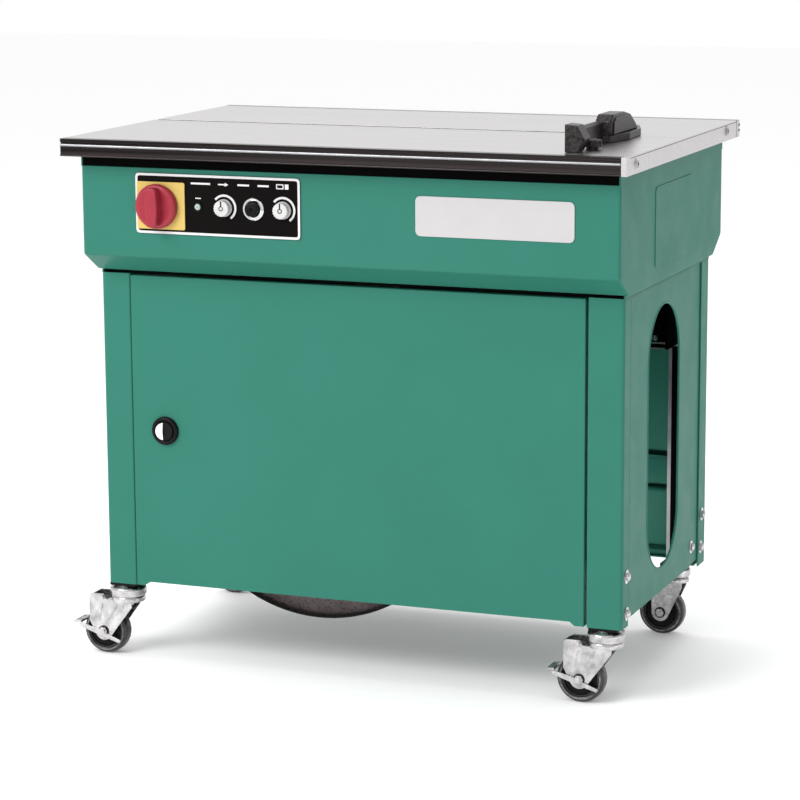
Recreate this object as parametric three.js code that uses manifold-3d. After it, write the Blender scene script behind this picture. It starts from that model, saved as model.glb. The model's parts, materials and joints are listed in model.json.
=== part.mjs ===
// Semi-automatic strapping machine: a work table over a sealing head and its drive, on a cabinet that
// holds the strap reel, standing on four swivel casters of which the front two have brakes.
// Millimetres. +X is the operator's right, +Y the rear and +Z up. Pieces are laid out round the point on
// the floor below the table's centre, and the whole group is then shifted so that its outline is centred.
import * as THREE from "three";
import { mergeVertices } from "three/addons/utils/BufferGeometryUtils.js";
import Module from "manifold-3d";

const wasm = await Module();
wasm.setup();

// ---- Driving dimensions ----
const gap = 0.3; // between neighbours that touch on the real machine
const sheet = 2; // folded steel sheet
const table = { halfX: 447.5, halfY: 309, top: 829.4, height: 27, railDepth: 16, lipWrap: 8.5 };
const slot = { y: 23, width: 12, trackDepth: 14 };
const head = { x: 296, y: 23, windowX: 64, windowY: 42 };
const housing = {
  halfX: 429.2, halfY: 276.5, top: 786, endTop: 811, bevelTop: 649.8, bottom: 620.5, bevelIn: 46.5,
};
const housingWall = 2.5;
const cabinet = { halfX: 422.6, halfY: 229.8, top: 616, bottom: 120.3 };
const door = { left: -373.8, right: 363.3, bottom: 127, lugBottom: 121, top: 613.5, depth: 20 };
const postWidth = { frontLeft: 48, frontRight: 55.5, rear: 42 };
const lock = { x: -318, z: 372 };
const endWindow = { y: -21, halfWidth: 84, bottom: 169, top: 580 };
const caster = { left: -401, right: 391.5, y: 206.5, wheelRadius: 37.5, height: 120, trail: 37, race: 29 };
const rearCaster = { x: 382, trail: 22, race: 23 }; // plain, and shorter than the braked front ones
const pedalReach = 57; // from the caster's axle to the tip of its brake pedal
const clampKnob = { x: 368, y: -218, radius: 14, height: 16 }; // of the package guide
const reel = { x: -96, z: 323, radius: 250, lip: 18, frontY: -132, rearY: 50, coreRadius: 98 };
const panel = { left: -337, right: -65.5, bottom: 686.7, top: 778.7 };
const switchAxis = { x: -299, z: 729 };
const switchPlate = { left: -333.5, right: -254, bottom: 693.8, top: 765.8 };
const controlsZ = 730.3;

const frameShiftX = (pedalReach + caster.trail - caster.left - table.halfX) / 2;
const roundSegments = 24;

// ---- Finishes: colour, roughness, metalness ----
const finishes = {
  green: [0x4b9582, 0.45, 0.2],
  stainless: [0xdcdcdd, 0.35, 0.9],
  railMetal: [0x6a6a6c, 0.3, 0.9],
  zinc: [0xb9bcc0, 0.4, 0.9],
  steel: [0x8b8e92, 0.45, 0.9],
  black: [0x141414, 0.5, 0.1],
  rubber: [0x1a1a1a, 0.8, 0],
  red: [0xc8102e, 0.4, 0],
  yellow: [0xf2cf1d, 0.5, 0],
  lightGrey: [0xd8d8d8, 0.5, 0],
  white: [0xf2f2f0, 0.4, 0],
  brown: [0x5c5350, 0.6, 0],
  brass: [0xb08d3c, 0.4, 0.9],
};

// ---- Solids ----
function solidOf(geometry) {
  const source = geometry.index ? geometry.toNonIndexed() : geometry;
  const bare = new THREE.BufferGeometry().setAttribute("position", source.getAttribute("position"));
  const merged = mergeVertices(bare, 1e-4);
  return new wasm.Manifold(
    new wasm.Mesh({
      numProp: 3,
      vertProperties: merged.attributes.position.array,
      triVerts: new Uint32Array(merged.index.array),
    }),
  );
}

function geometryOf(solid) {
  const { vertProperties, triVerts } = solid.getMesh();
  const geometry = new THREE.BufferGeometry();
  geometry.setAttribute("position", new THREE.BufferAttribute(new Float32Array(vertProperties), 3));
  geometry.setIndex(new THREE.BufferAttribute(new Uint32Array(triVerts), 1));
  geometry.computeVertexNormals();
  return geometry;
}

function join(...geometries) {
  return geometryOf(geometries.map(solidOf).reduce((whole, piece) => whole.add(piece)));
}

function cut(geometry, ...tools) {
  return geometryOf(tools.map(solidOf).reduce((whole, tool) => whole.subtract(tool), solidOf(geometry)));
}

function box([x0, x1], [y0, y1], [z0, z1]) {
  const geometry = new THREE.BoxGeometry(Math.abs(x1 - x0), y1 - y0, z1 - z0);
  return geometry.translate((x0 + x1) / 2, (y0 + y1) / 2, (z0 + z1) / 2);
}

// Turns a solid made along one axis of its own onto the axis named: X, Y or Z.
const alongAxis = {
  X: new THREE.Matrix4().makeBasis(
    new THREE.Vector3(0, 1, 0), new THREE.Vector3(0, 0, 1), new THREE.Vector3(1, 0, 0)),
  Y: new THREE.Matrix4().makeBasis(
    new THREE.Vector3(1, 0, 0), new THREE.Vector3(0, 0, 1), new THREE.Vector3(0, -1, 0)),
  Z: new THREE.Matrix4(),
};

// An outline, as corner points or a THREE.Shape, swept along an axis. Its two coordinates are (y, z) for
// axis X, (x, z) for axis Y and (x, y) for axis Z.
function prism(axis, outline, [from, to]) {
  const shape = Array.isArray(outline)
    ? new THREE.Shape(outline.map(([u, v]) => new THREE.Vector2(u, v)))
    : outline;
  const geometry = new THREE.ExtrudeGeometry(shape, { depth: to - from, bevelEnabled: false, curveSegments: 8 });
  geometry.translate(0, 0, axis === "Y" ? -to : from);
  return geometry.applyMatrix4(alongAxis[axis]);
}

// A round bar along an axis. Its centre is given as prism gives its outline.
function bar(axis, radius, span, [u, v], segments = roundSegments) {
  const corner = (i) => {
    const angle = (2 * Math.PI * (i + 0.5)) / segments;
    return [u + radius * Math.cos(angle), v + radius * Math.sin(angle)];
  };
  return prism(axis, Array.from({ length: segments }, (_, i) => corner(i)), span);
}

// A closed outline of (radius, position along the axis) turned round the Y axis through (x, z).
function turned(profile, [x, z], segments = roundSegments) {
  const outline = profile.map(([radius, along]) => new THREE.Vector2(radius, along));
  if (THREE.ShapeUtils.isClockWise(outline)) outline.reverse();
  const points = [...outline, outline[0].clone()];
  const geometry = new THREE.LatheGeometry(points, segments, Math.PI / segments);
  return geometry.translate(x, 0, z);
}

// The same, turned round the vertical axis through (x, y).
function turnedUpright(profile, [x, y], segments = roundSegments) {
  return turned(profile, [0, 0], segments).rotateX(Math.PI / 2).translate(x, y, 0);
}

function roundedRectangle([u0, u1], [v0, v1], radius) {
  const shape = new THREE.Shape();
  shape.absarc(u1 - radius, v1 - radius, radius, 0, Math.PI / 2);
  shape.absarc(u0 + radius, v1 - radius, radius, Math.PI / 2, Math.PI);
  shape.absarc(u0 + radius, v0 + radius, radius, Math.PI, 1.5 * Math.PI);
  shape.absarc(u1 - radius, v0 + radius, radius, 1.5 * Math.PI, 2 * Math.PI);
  return shape;
}

// ---- Scene graph ----
const machine = new THREE.Group();
machine.position.x = frameShiftX;

function add(name, finish, geometry, parent = machine) {
  const [color, roughness, metalness] = finishes[finish];
  const material = new THREE.MeshStandardMaterial({ color, roughness, metalness });
  const mesh = new THREE.Mesh(geometry, material);
  mesh.name = name;
  parent.add(mesh);
}

// ---- Upper housing ----
function addHousing() {
  const { halfX, halfY, top, endTop, bevelTop, bottom, bevelIn } = housing;
  const wall = housingWall;
  const flange = 30;
  const section = (inset, upper) => [
    [-halfY + inset, upper],
    [-halfY + inset, bevelTop + inset / 2],
    [-halfY + bevelIn + inset / 2, bottom + inset],
    [halfY - bevelIn - inset / 2, bottom + inset],
    [halfY - inset, bevelTop + inset / 2],
    [halfY - inset, upper],
  ];
  const pressing = roundedRectangle([-101, 101], [644, 765], 10);
  const pressHeight = 1.2;
  const shell = cut(
    join(
      prism("X", section(0, endTop), [-halfX, halfX]),
      prism("X", pressing, [-halfX - pressHeight, halfX + pressHeight]),
    ),
    box([-halfX + wall, halfX - wall], [-halfY - 5, halfY + 5], [top, endTop + 5]),
    prism("X", section(wall, top - wall), [-halfX + wall, halfX - wall]),
    box([-halfX + flange, halfX - flange], [-halfY + flange, halfY - flange], [top - 20, top + 20]),
    box([-395, 395], [-200, 200], [bottom - 20, bottom + 20]),
  );
  add("housing_shell", "green", shell);
}

// The black frame that carries the table, flush with the housing's front between its raised ends.
function addTableFrame() {
  const halfX = housing.halfX - housingWall - 0.7;
  const [front, rear] = [-housing.halfY + 1, 262];
  const wall = 4;
  const bottom = housing.top + gap;
  const top = table.top - sheet - gap;
  const ring = cut(
    box([-halfX, halfX], [front, rear], [bottom, top]),
    box([-halfX + wall, halfX - wall], [front + wall, rear - wall], [bottom - 5, top + 5]),
    box([-halfX - 5, -halfX + 10], [slot.y - 16, slot.y + 16], [top - slot.trackDepth - 6, top + 5]),
  );
  add("table_frame", "black", ring);
}

// ---- Cabinet ----
// A folded post whose outer corner is at (cornerX, cornerY). One flange lies along X, the other along Y.
function post(name, cornerX, cornerY, frontWidth, sideWidth) {
  const sx = -Math.sign(cornerX);
  const sy = -Math.sign(cornerY);
  const lip = 24;
  const at = (u, v) => [cornerX + sx * u, cornerY + sy * v];
  const outline = [
    at(0, 0), at(frontWidth, 0), at(frontWidth, lip), at(frontWidth - sheet, lip),
    at(frontWidth - sheet, sheet), at(sheet, sheet), at(sheet, sideWidth), at(0, sideWidth),
  ];
  const { bottom, top } = cabinet;
  const foot = 3;
  const reachX = [cornerX, cornerX + sx * (frontWidth - 1)].sort((a, b) => a - b);
  const reachY = [cornerY, cornerY + sy * (sideWidth - 1)].sort((a, b) => a - b);
  add(name, "green", join(
    prism("Z", outline, [bottom, top]),
    box(reachX, reachY, [bottom, bottom + foot]),
  ));
}

function addPosts() {
  const { halfX, halfY } = cabinet;
  post("front_left_post", -halfX, -halfY, postWidth.frontLeft, 32);
  post("front_right_post", halfX, -halfY, postWidth.frontRight, 32);
  post("rear_left_post", -halfX, halfY, postWidth.rear, postWidth.rear);
  post("rear_right_post", halfX, halfY, postWidth.rear, postWidth.rear);
}

function stadium({ y, halfWidth, bottom, top }) {
  const shape = new THREE.Shape();
  shape.absarc(y, top - halfWidth, halfWidth, 0, Math.PI);
  shape.absarc(y, bottom + halfWidth, halfWidth, Math.PI, 2 * Math.PI);
  return shape;
}

// An end panel: flat from the front post to a step, behind which its rear strip passes inside the rear post.
function addEndPanel(name, side) {
  const outer = cabinet.halfX;
  const step = sheet + 2 * gap;
  const front = -cabinet.halfY + 32 + gap;
  const stepY = 133;
  const rear = 214;
  const outline = [
    [outer, front], [outer, stepY], [outer - step, stepY], [outer - step, rear],
    [outer - step - sheet, rear], [outer - step - sheet, stepY - sheet], [outer - sheet, stepY - sheet],
    [outer - sheet, front + sheet], [outer - 14, front + sheet], [outer - 14, front],
  ].map(([x, y]) => [side * x, y]);
  const opening = prism("X", stadium(endWindow), [-10, 10]).translate(side * outer, 0, 0);
  add(name, "green", cut(prism("Z", outline, [131, cabinet.top - 1]), opening));
}

function addRearPanel() {
  const outerY = cabinet.halfY - 2;
  const [bottom, top] = [124, 474];
  const halfX = 379;
  const rib = (z0, z1) => box([-halfX + 20, halfX - 20], [outerY - sheet - 4, outerY - sheet + 0.5], [z0, z1]);
  add("rear_panel", "green", join(
    box([-halfX, halfX], [outerY - sheet, outerY], [bottom, top]),
    box([-halfX, halfX], [outerY - 16, outerY - sheet + 0.5], [top - sheet, top]),
    box([-halfX, halfX], [outerY - 16, outerY - sheet + 0.5], [bottom, bottom + sheet]),
    rib(284, 297),
    rib(229, 242),
    rib(134, 142),
  ));
}

// The plate between cabinet and housing. The machinery stands on it, and the reel's brake hangs from its lug.
function addMechanismBase() {
  const [bottom, top] = [cabinet.top + gap, housing.bottom - gap];
  add("mechanism_base", "black", join(
    cut(
      box([-416, 416], [-224, 224], [bottom, top]),
      box([-235, -175], [-40, 60], [bottom - 5, top + 5]),
    ),
    box([114, 134], [62, 67], [572, bottom + 0.5]),
    bar("Y", 5, [48, 66], [124, 582]),
  ));
}

// ---- Door, hung on its right edge ----
function addDoor() {
  const { left, right, bottom, lugBottom, top, depth } = door;
  const outerY = -cabinet.halfY;
  const lug = 18;
  const outline = [
    [left, lugBottom], [left + lug - 4, lugBottom], [left + lug + 4, bottom],
    [right - lug - 4, bottom], [right - lug + 4, lugBottom], [right, lugBottom],
    [right, top], [left, top],
  ];
  const pan = cut(
    prism("Y", outline, [outerY, outerY + depth]),
    box([left + sheet, right - sheet], [outerY + sheet, outerY + depth + 5], [bottom + sheet, top - sheet]),
    bar("Y", 9, [outerY - 5, outerY + 5], [lock.x, lock.z]),
  );
  add("door_panel", "green", pan);
}

function addLock() {
  const face = -cabinet.halfY - gap;
  add("lock_ring", "black", turned(
    [[9, face], [21, face], [21, face - 3], [18, face - 6], [9, face - 6]], [lock.x, lock.z]));
  const cam = box([lock.x - 46, lock.x + 7], [face + 22, face + 25], [lock.z - 7, lock.z + 7]);
  add("lock_barrel", "zinc", join(bar("Y", 8, [face - 9, face + 23], [lock.x, lock.z]), cam));
}

// ---- Control panel ----
function addControls() {
  const face = -housing.halfY - gap;
  const plate = 1.5;
  const outside = face - plate - gap;
  add("control_panel", "black",
    prism("Y", roundedRectangle([panel.left, panel.right], [panel.bottom, panel.top], 5), [face - plate, face]));
  add("switch_plate", "yellow", prism("Y", roundedRectangle(
    [switchPlate.left, switchPlate.right], [switchPlate.bottom, switchPlate.top], 3,
  ), [outside - 2, outside]));
  const knobBack = outside - 2 - gap;
  add("main_switch_knob", "red", join(
    turned([[0, knobBack], [34, knobBack], [34, knobBack - 8], [30, knobBack - 13], [0, knobBack - 13]],
      [switchAxis.x, switchAxis.z]),
    prism("Y", roundedRectangle(
      [switchAxis.x - 8, switchAxis.x + 8], [switchAxis.z - 30, switchAxis.z + 30], 6,
    ), [knobBack - 26, knobBack - 12]),
  ));
  add("pilot_lamp", "white", turned(
    [[0, outside], [5, outside], [5, outside - 2], [3, outside - 4], [0, outside - 4]], [-232.3, controlsZ]));
  for (const [name, x] of [["feed_length_knob", -189.6], ["tension_knob", -93.5]]) {
    add(name, "lightGrey", join(
      turned([[0, outside], [13, outside], [12, outside - 12], [0, outside - 12]], [x, controlsZ]),
      box([x - 1.2, x + 1.2], [outside - 13, outside - 11], [controlsZ + 2, controlsZ + 11]),
    ));
  }
  add("manual_feed_button", "black", turned(
    [[0, outside - 4], [11, outside - 4], [11, outside - 9], [9.5, outside - 10.5], [0, outside - 10.5]],
    [-141.2, controlsZ]));
  add("name_plate", "white", prism("Y", roundedRectangle([117, 361], [701, 760], 9), [face - 1.2, face]));
}

// ---- Table top, hinged along its rear edge ----
function addTableTop() {
  const { halfX, halfY, top, height, railDepth, lipWrap } = table;
  const bottom = top - height;
  const innerY = halfY - railDepth;
  const lip = (side) => box(
    side < 0 ? [-halfX, -halfX + sheet] : [halfX - sheet, halfX], [-innerY, innerY], [bottom, top - 0.5]);
  const frontReturn = box([halfX - lipWrap, halfX], [-halfY, -innerY + 1], [bottom, top]);
  const headLeft = head.x - head.windowX / 2;
  const trackHalf = slot.width / 2 + 4;
  const trackBottom = top - slot.trackDepth - sheet;
  const whole = join(
    box([-halfX, halfX], [-innerY, innerY], [top - sheet, top]),
    lip(-1),
    lip(1),
    frontReturn,
    box([-halfX + 1, headLeft - 2], [slot.y - trackHalf, slot.y + trackHalf], [trackBottom, top - 1]),
  );
  add("table_plate", "stainless", cut(
    whole,
    box([-halfX - 5, headLeft + 1], [slot.y - slot.width / 2, slot.y + slot.width / 2],
      [trackBottom + sheet, top + 5]),
    box([headLeft, headLeft + head.windowX], [head.y - head.windowY / 2, head.y + head.windowY / 2],
      [trackBottom - 5, top + 5]),
  ));
  const railSection = (side) => [
    [innerY + gap, top], [halfY - 1.5, top], [halfY, top - 1.5], [halfY, top - 6.5], [halfY - 2, top - 7.5],
    [halfY - 2, top - 9], [halfY, top - 10], [halfY, bottom + 1.5], [halfY - 1.5, bottom], [innerY + gap, bottom],
  ].map(([y, z]) => [side * y, z]);
  add("front_edge_rail", "railMetal", prism("X", railSection(-1), [-halfX, halfX - lipWrap - gap]));
  add("rear_edge_rail", "railMetal", prism("X", railSection(1), [-halfX, halfX]));
}

// The package guide: a low base with a raised block, and a forward arm that ends in a nose block.
function addGuide() {
  const ground = table.top + gap;
  const baseTop = ground + 11;
  const rearFront = -120 + gap;
  const baseOutline = [[340, rearFront], [364, rearFront], [376, -56], [371, 12], [352, 60], [340, 60]];
  add("guide_base", "black", prism("Z", baseOutline, [ground, baseTop]));
  const rearProfile = [
    [rearFront, baseTop + gap], [rearFront, 862], [-108, 871], [-52, 871], [-22, 865], [8, 849],
    [14, baseTop + gap],
  ];
  add("guide_rear_block", "black", prism("X", rearProfile, [341, 366]));
  const nose = [[342, ground], [361, ground], [372, 848.5], [360.5, 868.5], [342, 870]];
  const neck = [[343, ground + 6], [351, ground + 6], [351, 858], [347, 862], [343, 862]];
  add("guide_front_block", "black", join(prism("Y", nose, [-268, -238]), prism("Y", neck, [-239, -120 - gap])));
  const knob = clampKnob;
  const knobTop = ground + knob.height;
  add("guide_clamp_knob", "black", turnedUpright(
    [[0, ground], [knob.radius - 4, ground], [knob.radius - 4, ground + 4], [knob.radius, ground + 5],
      [knob.radius, knobTop - 2], [knob.radius - 2, knobTop], [0, knobTop]],
    [knob.x, knob.y], 16));
}

// ---- Casters. Each is built round its own swivel axis, with its wheel trailing to the left. ----
function addCaster(corner, x, y, { trail, race }, braked) {
  const { wheelRadius, height } = caster;
  const group = new THREE.Group();
  group.position.set(x, y, 0);
  machine.add(group);
  const raceBottom = 97.2;
  const plateBottom = height - 3.1;
  add("caster_plate_" + corner, "zinc", join(
    box([-21, 21], [-21, 21], [plateBottom, height - 0.1]),
    turnedUpright(
      [[0, raceBottom], [race - 4, raceBottom], [race, raceBottom + 5], [race, plateBottom - 4],
        [race - 7, plateBottom + 1], [0, plateBottom + 1]],
      [0, 0]),
  ), group);

  const crownTop = raceBottom - gap;
  const plates = { inner: 14, outer: 16.5 };
  const back = -trail - 25;
  const shoulder = -race - 3;
  const crown = race - 2;
  const cheek = new THREE.Shape();
  cheek.moveTo(back, 56);
  if (braked) {
    // The braked forks rise beside the race and are open above the wheel there.
    cheek.lineTo(back, 91);
    cheek.absarc(back + 7, 91, 7, Math.PI, Math.PI / 2, true);
    cheek.lineTo(shoulder - 4, 98);
  }
  cheek.lineTo(braked ? shoulder : back, 90);
  cheek.lineTo(13, 90);
  cheek.lineTo(13, 80);
  cheek.absarc(-trail, wheelRadius, 15, -0.5, -2.6, true);
  const axleEnd = 20.5;
  add("caster_fork_" + corner, "zinc", join(
    cut(
      prism("Y", cheek, [-plates.outer, plates.outer]),
      box([-90, 40], [-plates.inner, plates.inner], [5, 87]),
      box([-90, braked ? shoulder + 2 : -89], [-plates.inner, plates.inner], [5, 110]),
    ),
    turnedUpright([[0, 88], [crown, 88], [crown, crownTop - 3], [crown - 3, crownTop], [0, crownTop]], [0, 0]),
    bar("Y", 4, [-axleEnd, axleEnd], [-trail, wheelRadius], 12),
  ), group);

  // The tread is a polygon whose flats, not corners, are one wheel radius from the axle.
  const tread = wheelRadius / Math.cos(Math.PI / roundSegments);
  const [hub, rim] = [13.5, 12.5];
  add("caster_wheel_" + corner, "rubber", turned(
    [[4.6, -hub], [12, -hub], [30, -rim], [tread, -8], [tread, 8], [30, rim], [12, hub], [4.6, hub]],
    [-trail, wheelRadius]), group);

  if (!braked) return;
  const fromAxle = (outline) => outline.map(([u, v]) => [u - trail, v + wheelRadius]);
  const arm = fromAxle([[17, -13], [20, -6], [4, 8], [-38, 16], [-44, 16], [-44, 8], [-8, -8]]);
  const footPlate = fromAxle([[-40, 16], [-pedalReach, 11], [-pedalReach, 8], [-40, 12]]);
  const armFaces = [17, 19.2];
  const side = ([inner, outer]) => cut(
    prism("Y", arm, [inner, outer]),
    bar("Y", 4.6, [inner - 1, outer + 1], [-trail, wheelRadius], 12),
  );
  add("brake_pedal_" + corner, "zinc", join(
    side(armFaces),
    side([-armFaces[1], -armFaces[0]]),
    prism("Y", footPlate, [-armFaces[1], armFaces[1]]),
  ), group);
}

function addCasters() {
  for (const [side, x, sign] of [["left", caster.left, -1], ["right", caster.right, 1]]) {
    addCaster("front_" + side, x, -caster.y, caster, true);
    addCaster("rear_" + side, sign * rearCaster.x, caster.y, rearCaster, false);
  }
}

// ---- Strap reel in the cabinet ----
function addReel() {
  const { x, z, radius, lip, frontY, rearY, coreRadius } = reel;
  const axleRadius = 12;
  const bore = axleRadius + 0.6;
  const segments = 40;
  add("reel_bracket", "steel", join(
    box([x - 30, x + 30], [rearY + 30, rearY + 38], [128, cabinet.top - gap]),
    bar("Y", axleRadius, [frontY - 34, rearY + 31], [x, z]),
    bar("Y", 20, [rearY + 16, rearY + 31], [x, z]),
  ));
  add("reel_front_flange", "brown", turned(
    [[bore, frontY - 24], [30, frontY - 24], [30, frontY - 3], [radius - 3, frontY - 3],
      [radius - 3, frontY - lip], [radius, frontY - lip], [radius, frontY], [bore, frontY]],
    [x, z], segments));
  add("reel_hub", "black", turned(
    [[bore, frontY + gap], [coreRadius, frontY + gap], [coreRadius, rearY - gap], [coreRadius - 6, rearY - gap],
      [coreRadius - 6, frontY + 8], [24, frontY + 8], [24, rearY - gap], [bore, rearY - gap]],
    [x, z]));
  add("reel_rear_flange", "black", turned(
    [[bore, rearY], [radius - 8, rearY], [radius - 8, rearY + 3], [30, rearY + 3], [30, rearY + 12], [bore, rearY + 12]],
    [x, z], segments));
  const rimTop = z + radius - 8;
  add("reel_brake_arm", "steel", join(
    cut(
      prism("Y", [[-60, rimTop + 12], [118, 574], [134, 574], [134, 590], [118, 590], [-60, rimTop + 20]], [50, 58]),
      bar("Y", 5.6, [45, 60], [124, 582]),
    ),
    box([-90, -40], [46, 57.5], [rimTop + 3, rimTop + 18]),
  ));
}

// ---- Drive: motor, belt, gearbox and cam shaft ----
const drive = { motorX: -110, gearX: 95, z: 695, beltY: -62, beltWidth: 10, motorR: 25, gearR: 50 };

// The outline of a belt's face at a given distance outside its pulleys: two arcs and two tangents.
function beltOutline(offset) {
  const { motorX, gearX, z, motorR, gearR } = drive;
  const lean = Math.asin((gearR - motorR) / (gearX - motorX));
  const shape = new THREE.Shape();
  shape.absarc(gearX, z, gearR + offset, -Math.PI / 2 - lean, Math.PI / 2 + lean);
  shape.absarc(motorX, z, motorR + offset, Math.PI / 2 + lean, 1.5 * Math.PI - lean);
  return shape;
}

function addDrive() {
  const { motorX, gearX, z, beltY, beltWidth, motorR, gearR } = drive;
  const floor = housing.bottom;
  add("drive_motor", "steel", join(
    bar("Y", 56, [-30, 130], [motorX, z]),
    bar("Y", 50, [129, 150], [motorX, z]),
    box([motorX - 48, motorX + 48], [-10, 110], [floor, z - 40]),
    bar("Y", 8, [beltY - 2, -29], [motorX, z], 16),
  ));
  add("gearbox", "steel", join(
    box([gearX - 60, gearX + 60], [-30, 90], [floor, z + 60]),
    box([gearX - 72, gearX + 72], [-22, 82], [floor, floor + 8]),
    bar("Y", 9, [beltY - 2, -29], [gearX, z], 16),
  ));
  const pulleyWidth = 16;
  const beltFront = beltY + (pulleyWidth - beltWidth) / 2;
  const flange = 4;
  const pulley = (radius, bore) => [
    [bore, beltY], [radius + flange, beltY], [radius + flange, beltY + 2], [radius, beltY + 2.5],
    [radius, beltY + pulleyWidth - 2.5], [radius + flange, beltY + pulleyWidth - 2],
    [radius + flange, beltY + pulleyWidth], [bore, beltY + pulleyWidth],
  ];
  add("motor_pulley", "steel", turned(pulley(motorR, 8.6), [motorX, z]));
  add("gearbox_pulley", "steel", turned(pulley(gearR, 9.6), [gearX, z]));
  add("drive_belt", "rubber", cut(
    prism("Y", beltOutline(4.5), [beltFront, beltFront + beltWidth]),
    prism("Y", beltOutline(0.8), [beltFront - 1, beltFront + beltWidth + 1]),
  ));

  const cams = { y: 30, z: 688, radius: 20, offset: 6, width: 10 };
  const shaft = [gearX + 60.5, head.x - 37];
  const lobe = (x, angle) => bar("X", cams.radius, [x, x + cams.width], [0, cams.offset])
    .rotateX(angle)
    .translate(0, cams.y, cams.z);
  const thirdTurn = (2 * Math.PI) / 3;
  add("cam_shaft", "steel", join(
    bar("X", 10, shaft, [cams.y, cams.z]),
    ...[175, 200, 225].map((x, i) => lobe(x, i * thirdTurn)),
  ));
}

// ---- Sealing head, under the window in the table ----
function addHead() {
  const floor = housing.bottom;
  const blockTop = 806;
  const rollerX = head.x - 84;
  const feed = { z: 752, radius: 22 };
  const pinch = { z: 790, radius: 15 };
  const plateY = [40, 46];
  const half = { x: 34, y: 25 };
  add("head_block", "steel", cut(
    join(
      box([head.x - half.x, head.x + half.x], [head.y - half.y, head.y + half.y], [floor, blockTop]),
      box([rollerX - 30, head.x], plateY, [730, blockTop]),
    ),
    box([head.x - 25, head.x - 5], [head.y - 7, head.y + 7], [715, blockTop + 5]),
    box([head.x - 3, head.x + 29], [head.y - 12, head.y + half.y + 5], [788, 798]),
    box([head.x - 3, head.x + 29], [head.y + 14, head.y + half.y + 5], [784, 801]),
    bar("Y", 6, [35, 50], [rollerX, feed.z], 16),
    bar("Y", 5, [35, 50], [rollerX, pinch.z], 16),
  ));
  add("slide_table", "stainless", box([head.x - 30, head.x + 30], [head.y - 20, head.y + 20], [blockTop + gap, 826.6]));
  add("strap_gripper", "steel", box([head.x - 24, head.x - 6], [head.y - 6, head.y + 6], [716, blockTop - 5]));
  add("heater_blade", "brass", join(
    box([head.x, head.x + 26], [head.y + 3, head.y + 36], [791, 794]),
    box([head.x + 2, head.x + 24], [head.y + 28, head.y + 36], [786, 799]),
  ));
  const roller = ({ z, radius }, shaft) => join(
    bar("Y", radius, [12, 38], [rollerX, z]),
    bar("Y", shaft, [37, 50], [rollerX, z], 16),
  );
  add("feed_roller", "rubber", roller(feed, 5.4));
  add("pinch_roller", "steel", roller(pinch, 4.4));
  add("electrical_box", "black", box([-379, 379], [150, 226], [478, cabinet.top - gap]));
}

addHousing();
addTableFrame();
addPosts();
addEndPanel("left_end_panel", -1);
addEndPanel("right_end_panel", 1);
addRearPanel();
addMechanismBase();
addDoor();
addLock();
addControls();
addTableTop();
addGuide();
addCasters();
addReel();
addDrive();
addHead();

export default machine;
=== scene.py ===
import json
import math

import bmesh
import bpy
from mathutils import Matrix, Vector


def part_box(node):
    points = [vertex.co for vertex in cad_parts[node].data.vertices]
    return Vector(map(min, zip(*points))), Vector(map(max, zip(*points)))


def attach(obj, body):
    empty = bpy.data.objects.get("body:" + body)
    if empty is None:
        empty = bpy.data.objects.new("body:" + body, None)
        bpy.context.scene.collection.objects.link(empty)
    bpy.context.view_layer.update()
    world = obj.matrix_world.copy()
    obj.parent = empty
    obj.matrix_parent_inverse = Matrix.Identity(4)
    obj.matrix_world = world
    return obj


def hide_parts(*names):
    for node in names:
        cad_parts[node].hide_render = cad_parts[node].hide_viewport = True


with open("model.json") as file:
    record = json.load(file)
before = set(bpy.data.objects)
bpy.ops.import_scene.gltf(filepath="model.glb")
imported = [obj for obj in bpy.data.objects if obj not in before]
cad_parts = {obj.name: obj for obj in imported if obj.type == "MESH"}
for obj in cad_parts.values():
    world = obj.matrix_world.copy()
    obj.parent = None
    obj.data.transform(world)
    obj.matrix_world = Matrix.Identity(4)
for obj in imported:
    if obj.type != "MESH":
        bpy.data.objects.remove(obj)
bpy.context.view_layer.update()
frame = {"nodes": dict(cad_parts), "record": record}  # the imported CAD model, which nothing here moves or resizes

# Lengths below are millimetres in the machine's own coordinates: +X to the operator's right, +Y to the
# rear, +Z up, round the point on the floor below the table's centre. The frame is in metres, and its
# origin is shifted along X, so every finished mesh passes through TO_FRAME.
MM = 0.001
_table_low, _table_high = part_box("table_plate")
TO_FRAME = Matrix.Translation(((_table_low.x + _table_high.x) / 2, 0, 0)) @ Matrix.Scale(MM, 4)
TO_MACHINE = TO_FRAME.inverted()
CORNERS = ("front_left", "front_right", "rear_left", "rear_right")
SIDES = ((-1, "left"), (1, "right"))


def node_box(node):
    """The lowest and highest corner of a CAD node, in machine millimetres."""
    low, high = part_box(node)
    return TO_MACHINE @ low, TO_MACHINE @ high


def node_centre(node):
    low, high = node_box(node)
    return (low + high) / 2


def across(axis, node):
    """The centre of a CAD node, as its two coordinates across an axis, in Python's own precision."""
    low, high = node_box(node)
    return tuple((a + b) / 2 for name, a, b in zip("XYZ", low, high) if name != axis)


def joint_point(name):
    """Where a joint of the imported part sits, in machine millimetres."""
    joints = frame["record"]["behaviour"]["joints"]
    return TO_MACHINE @ Vector(next(joint for joint in joints if joint["name"] == name)["pos_m"])


# ---- Materials ----
GRAIN_DEPTH = 0.0002  # metres, the height of the bump
SPECK_EDGE = 0.02  # how softly a speck begins
METAL_GLOSS = 0.5


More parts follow.
